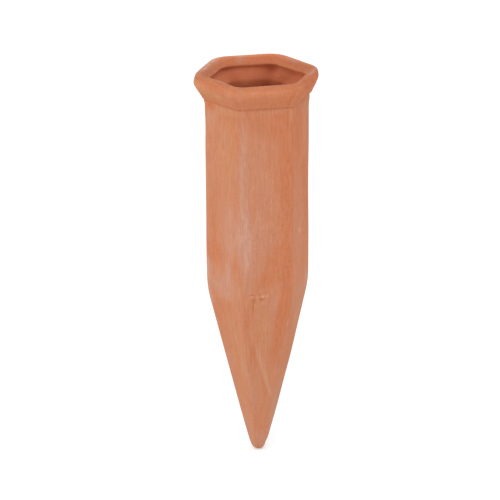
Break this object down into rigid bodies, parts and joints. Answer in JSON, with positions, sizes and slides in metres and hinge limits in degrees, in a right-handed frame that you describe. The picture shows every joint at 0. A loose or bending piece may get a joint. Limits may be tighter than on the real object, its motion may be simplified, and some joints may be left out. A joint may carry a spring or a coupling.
{
  "type": "self watering spike",
  "caption": "Hollow hexagonal clay spike with a flared mouth for an upturned bottle and a long point for the soil.",
  "frame": {"origin": "the outside of the rounded tip, on the axis of the six-sided shank, which is the centre of the bottom of the bounding box", "axes": "+Z from the tip to the mouth; +X through one of the six upright edges; -Y and +Y through the middle of a flat, with the pictured front near -Y"},
  "size_m": [0.0542, 0.049, 0.17],
  "materials": {
    "terracotta": "matte, unglazed, porous"
  },
  "bodies": {
    "root": {"clay_spike": "terracotta"}
  },
  "joints": []
}
